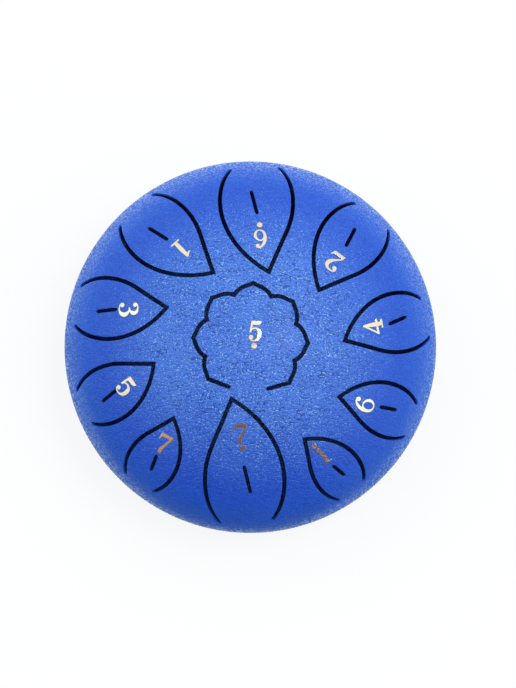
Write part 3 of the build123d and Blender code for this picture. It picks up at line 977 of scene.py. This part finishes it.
weldSizes = {"Crown": 0.00025, "Ripple": 0.00006, "Ripples": 330.0, "Bow": 1.6, "Around": 1981, "Across": 15}
seamWeld = newPiece("seamWeld", [(0, 0, 0)], [])
runTree(seamWeld, makeWeldTree(), {**weldSizes, "Radius": drumRadius, "Level": seamLevel,
                                   "Leg": shellSizes["weldLeg"], "Finish": paintFinish})
seamWeld.data.shade_smooth()
seat(seamWeld, paintFinish, "blue_paint", "seam_weld")
print("weld:", len(seamWeld.data.polygons), "faces")

# rubber feet, each moulded round a pocket for its screw
footSizes = {
    "top": 0.008,
    "bottom": 0.0068,
    "rounding": (0.0008, 5),
    "bore": 0.0017,
    "pocket": 0.0038,
    "pocketMouth": (0.0004, 3),
    "pocketEnd": (0.0002, 2),
    "web": 0.004,
    "segments": 72,
}


def makeFeet(sizes):
    feet = lathe("rubberFeet", [
        (sizes["bore"], sizes["web"], 0, 0),
        (sizes["bore"], baseLevel, 0, 0),
        (sizes["top"], baseLevel, *sizes["rounding"]),
        (sizes["bottom"], 0.0, *sizes["rounding"]),
        (sizes["pocket"], 0.0, *sizes["pocketMouth"]),
        (sizes["pocket"], sizes["web"], *sizes["pocketEnd"]),
    ], sizes["segments"])
    runTree(feet, repeatTree, {**footRing, "Finish": rubberFinish})
    feet.data.set_sharp_from_angle(angle=math.radians(turnedSharp))
    seat(feet, rubberFinish, "black_rubber", "rubber_foot_front", "rubber_foot_left", "rubber_foot_right")


makeFeet(footSizes)

# screws of the feet, head down, with a crowned head, a cross recess and a thread
screwSizes = {
    "head": 0.0029,
    "headSide": 0.0014,
    "headStart": 0.0013,
    "headEnd": 0.0035,
    "headEdge": 0.00012,
    "crownSteps": 8,
    "crownPower": 2.6,
    "shank": 0.0015,
    "shankEnd": 0.0119,
    "tip": 0.0003,
    "pitch": 0.0005,
    "pitchSteps": 8,
    "threadDepth": 0.00022,
    "threadStart": 0.0001,
    "cross": (0.0032, 0.0007, 0.0012),  # length, width and depth
    "segments": 32,
}


def makeScrew(name, sizes):
    start, end, head, shank = (sizes[k] for k in ("headStart", "headEnd", "head", "shank"))
    edge, pitch, segments = sizes["headEdge"], sizes["pitch"], sizes["segments"]
    rise = end - start - sizes["headSide"]
    rings = []  # radius, height and how deep the thread bites
    for step in range(sizes["crownSteps"] + 1):
        share = step / sizes["crownSteps"]
        rings.append((head * share, start + rise * share ** sizes["crownPower"], 0.0))
    rings += [(head, end - edge, 0.0), (head - edge, end, 0.0), (shank, end, 0.0)]
    for step in range(int((sizes["shankEnd"] - end) / pitch) * sizes["pitchSteps"]):
        level = end + sizes["threadStart"] + step * pitch / sizes["pitchSteps"]
        rings.append((shank, level, sizes["threadDepth"]))
    rings += [(shank - sizes["tip"], sizes["shankEnd"], 0.0), (0.0, sizes["shankEnd"], 0.0)]
    points = []
    for radius, level, depth in rings:
        for turn in (math.tau * k / segments for k in range(segments)):
            cut = radius - depth * (0.5 - 0.5 * math.cos(math.tau * level / pitch - turn))
            points.append((cut * math.cos(turn), cut * math.sin(turn), level))
    rows = np.arange(len(points)).reshape(len(rings), segments)
    screw = newPiece(name, points, wallFaces(rows))
    mergeDoubles(screw.data)
    long, wide, deep = sizes["cross"]
    for size in ((long, wide, 2 * deep), (wide, long, 2 * deep)):
        cutMesh(screw, boxMesh(size, start), "DIFFERENCE")
    return screw


def mergeDoubles(mesh):
    bm = bmesh.new()
    bm.from_mesh(mesh)
    bmesh.ops.remove_doubles(bm, verts=bm.verts, dist=1e-7)
    bmesh.ops.recalc_face_normals(bm, faces=bm.faces)
    bm.to_mesh(mesh)
    bm.free()


def boxMesh(size, level):
    bm = bmesh.new()
    place = Matrix.Translation((0, 0, level)) @ Matrix.Diagonal((*size, 1))
    bmesh.ops.create_cube(bm, size=1.0, matrix=place)
    return bakeMesh("cutter", bm)


def cutMesh(piece, cutter, operation):
    tool = addObject("cutter", cutter)
    modifier = piece.modifiers.new("cut", "BOOLEAN")
    modifier.operation, modifier.solver, modifier.object = operation, "EXACT", tool
    settle(piece)
    bpy.data.objects.remove(tool)


# washers between the screw heads and the rubber
washerSizes = {"gap": 0.0002, "outer": 0.0035, "thick": 0.0005, "boreEdge": (0.0001, 2), "edge": (0.00015, 3),
               "segments": 48}


def makeWasher(name, sizes, screw):
    bore, low = screw["shank"] + sizes["gap"], screw["headEnd"]
    high = low + sizes["thick"]
    return lathe(name, [
        (bore, low, *sizes["boreEdge"]),
        (sizes["outer"], low, *sizes["edge"]),
        (sizes["outer"], high, *sizes["edge"]),
        (bore, high, *sizes["boreEdge"]),
    ], sizes["segments"])


# nuts inside the drum: a turned blank with chamfered ends, cut to a hexagon
nutSizes = {
    "across": 0.0055,
    "high": 0.0024,
    "gap": 0.00005,
    "face": 0.97,  # of the width across the flats
    "blank": 1.02,  # of the hexagon's corners
    "chamfer": 0.00035,
    "turn": 0.03,  # so that no edge meets a corner of the hexagon
    "segments": 48,
}


def makeNut(name, sizes, screw):
    low = baseLevel + shellSizes["wall"]
    high, chamfer = low + sizes["high"], sizes["chamfer"]
    bore, face = screw["shank"] + sizes["gap"], sizes["across"] / 2 * sizes["face"]
    corner = sizes["across"] / math.sqrt(3)
    blank = corner * sizes["blank"]
    section = [(bore, low), (face, low), (blank, low + chamfer)]
    section += [(blank, high - chamfer), (face, high), (bore, high)]
    nut = lathe(name, [(*spot, 0, 0) for spot in section], sizes["segments"])
    nut.data.transform(Matrix.Rotation(sizes["turn"], 4, "Z"))
    bm = bmesh.new()
    place = Matrix.Translation((0, 0, low + sizes["high"] / 2)) @ Matrix.Rotation(math.pi / 6, 4, "Z")
    bmesh.ops.create_cone(bm, cap_ends=True, segments=6, radius1=corner, radius2=corner,
                          depth=2 * sizes["high"], matrix=place)
    cutMesh(nut, bakeMesh("cutter", bm), "INTERSECT")
    return nut


footWashers = makeWasher("footWashers", washerSizes, screwSizes)
footScrews = makeScrew("footScrews", screwSizes)
footNuts = makeNut("footNuts", nutSizes, screwSizes)
steelSharp = 32
for piece, label in ((footWashers, "foot_washers"), (footScrews, "foot_screws"), (footNuts, "foot_nuts")):
    runTree(piece, repeatTree, {**footRing, "Finish": steelFinish})
    piece.data.shade_smooth()
    piece.data.set_sharp_from_angle(angle=math.radians(steelSharp))
    seat(piece, steelFinish, "steel", label)
print("feet and fasteners made")

# studio: white floor, a bright room, a lamp overhead and the player's dark side in front
studioFloor = {
    "size": 8.0,
    "drop": 0.00005,
    "white": (0.85, 0.85, 0.85, 1.0),
    "lit": (0.02, 0.075, 0.0, 0.85),  # shaded under the drum, nearly white past it
    "glossBack": (1.2, 1.4, 1.4, 1.0),  # what gloss on the drum shows of the floor: a painted reflection, brighter than white at the back, with a painted shadow of the player in front
    "glossSide": (0.75, 0.95, 1.0, 1.0),
    "glossFront": (0.03, 0.04, 0.05, 1.0),
    "toBack": (0.0, 0.12),
    "toFront": (-0.1, -0.128),
}
studioLamp = {"at": (0.33, 0.14, 1.3), "aim": (0.0, 0.0, 0.05), "size": 0.35, "power": 4.0}
studioRoom = {
    "skyTop": (1.34, 1.45, 1.45, 1.0),
    "skySide": (1.7, 2.08, 2.02, 1.0),
    "skyLow": (0.5, 0.64, 0.6, 1.0),
    "playerTop": (0.3, 0.17, 0.155, 1.0),
    "playerLeft": (0.85, 0.64, 0.48, 1.0),
    "playerLow": (0.02, 0.02, 0.03, 1.0),
    "playerWay": (-0.26, -0.97),
    "high": (0.15, 0.64),
    "sides": (0.6, 0.88),
    "left": (0.15, 0.42),
    "lean": 0.4,
    "narrow": (-1.4, 1.6),
    "shade": (-0.075, -0.025),
}


# white, or the mirrored colour, for rays that come straight from the camera or off gloss
def whiteWhenSeen(tree, shader, share, mirrored=None):
    path = node(tree, "ShaderNodeLightPath").outputs
    seen = product(tree, calc(tree, "MAXIMUM", path["Is Camera Ray"], path["Is Transmission Ray"]), share)
    glow = node(tree, "ShaderNodeEmission")
    if mirrored is not None:
        white = (1.0, 1.0, 1.0, 1.0)
        wire(tree, blendColour(tree, path["Is Glossy Ray"], white, mirrored), glow.inputs["Color"])
        seen = calc(tree, "MAXIMUM", seen, path["Is Glossy Ray"])
    return fill(tree, node(tree, "ShaderNodeMixShader"), (seen, shader.outputs[0], glow.outputs[0]))[0]


def makeFloor(sizes):
    half, low = sizes["size"] / 2, -sizes["drop"]
    mesh = bpy.data.meshes.new("floor")
    corners = [(-half, -half, low), (half, -half, low), (half, half, low), (-half, half, low)]
    mesh.from_pydata(corners, [], [(0, 1, 2, 3)])
    floor = addObject("floor", mesh)
    material = bpy.data.materials.new("whiteFloor")
    material.use_nodes = True
    tree = material.node_tree
    tree.nodes.clear()
    ground = node(tree, "ShaderNodeTexCoord").outputs["Object"]
    depth = fill(tree, node(tree, "ShaderNodeSeparateXYZ"), [ground])["Y"]
    gloss = blendColour(tree, remap(tree, depth, *sizes["toBack"]), sizes["glossSide"], sizes["glossBack"])
    gloss = blendColour(tree, remap(tree, depth, *sizes["toFront"]), gloss, sizes["glossFront"])
    paper = node(tree, "ShaderNodeBsdfDiffuse")
    paper.inputs["Color"].default_value = sizes["white"]
    top = whiteWhenSeen(tree, paper, remap(tree, fromAxis(tree, ground), *sizes["lit"]), gloss)
    beneath = node(tree, "ShaderNodeNewGeometry").outputs["Backfacing"]
    through = product(tree, beneath, node(tree, "ShaderNodeLightPath").outputs["Is Camera Ray"])
    clear = node(tree, "ShaderNodeBsdfTransparent").outputs[0]  # the camera sees through it from beneath
    surface = fill(tree, node(tree, "ShaderNodeMixShader"), (through, top, clear))[0]
    wire(tree, surface, node(tree, "ShaderNodeOutputMaterial").inputs["Surface"])
    floor.data.materials.append(material)


def makeLamp(sizes):
    data = bpy.data.lights.new("lamp", "AREA")
    data.shape = "DISK"
    data.size = sizes["size"]
    data.energy = sizes["power"]
    lamp = addObject("lamp", data)
    lamp.location = sizes["at"]
    lamp.rotation_euler = (Vector(sizes["aim"]) - Vector(sizes["at"])).to_track_quat("-Z", "Y").to_euler()
    lamp.visible_camera = False


def makeRoom(look):
    world = bpy.data.worlds.new("room")
    world.use_nodes = True
    tree = world.node_tree
    tree.nodes.clear()
    way = node(tree, "ShaderNodeTexCoord").outputs["Generated"]
    x, y, z = fill(tree, node(tree, "ShaderNodeSeparateXYZ"), [way])
    wayX, wayY = look["playerWay"]
    front = calc(tree, "ADD", product(tree, x, wayX), product(tree, y, wayY))
    across = calc(tree, "SUBTRACT", product(tree, x, wayY), product(tree, y, wayX))
    high = remap(tree, z, *look["high"])
    sides = remap(tree, calc(tree, "ABSOLUTE", across), *look["sides"])
    sky = blendColour(tree, high, look["skyLow"], blendColour(tree, sides, look["skyTop"], look["skySide"]))
    aside = calc(tree, "ABSOLUTE", calc(tree, "ADD", across, product(tree, front, high, look["lean"])))
    narrowed = product(tree, aside, calc(tree, "MULTIPLY_ADD", front, *look["narrow"]))
    shade = remap(tree, calc(tree, "SUBTRACT", front, narrowed), *look["shade"])
    left = remap(tree, across, *look["left"])
    player = blendColour(tree, left, look["playerTop"], look["playerLeft"])
    player = blendColour(tree, high, look["playerLow"], player)
    room = node(tree, "ShaderNodeBackground")
    wire(tree, blendColour(tree, shade, sky, player), room.inputs["Color"])
    wire(tree, whiteWhenSeen(tree, room, 1.0), node(tree, "ShaderNodeOutputWorld").inputs["Surface"])
    scene.world = world


makeFloor(studioFloor)
makeLamp(studioLamp)
makeRoom(studioRoom)
print("studio set")
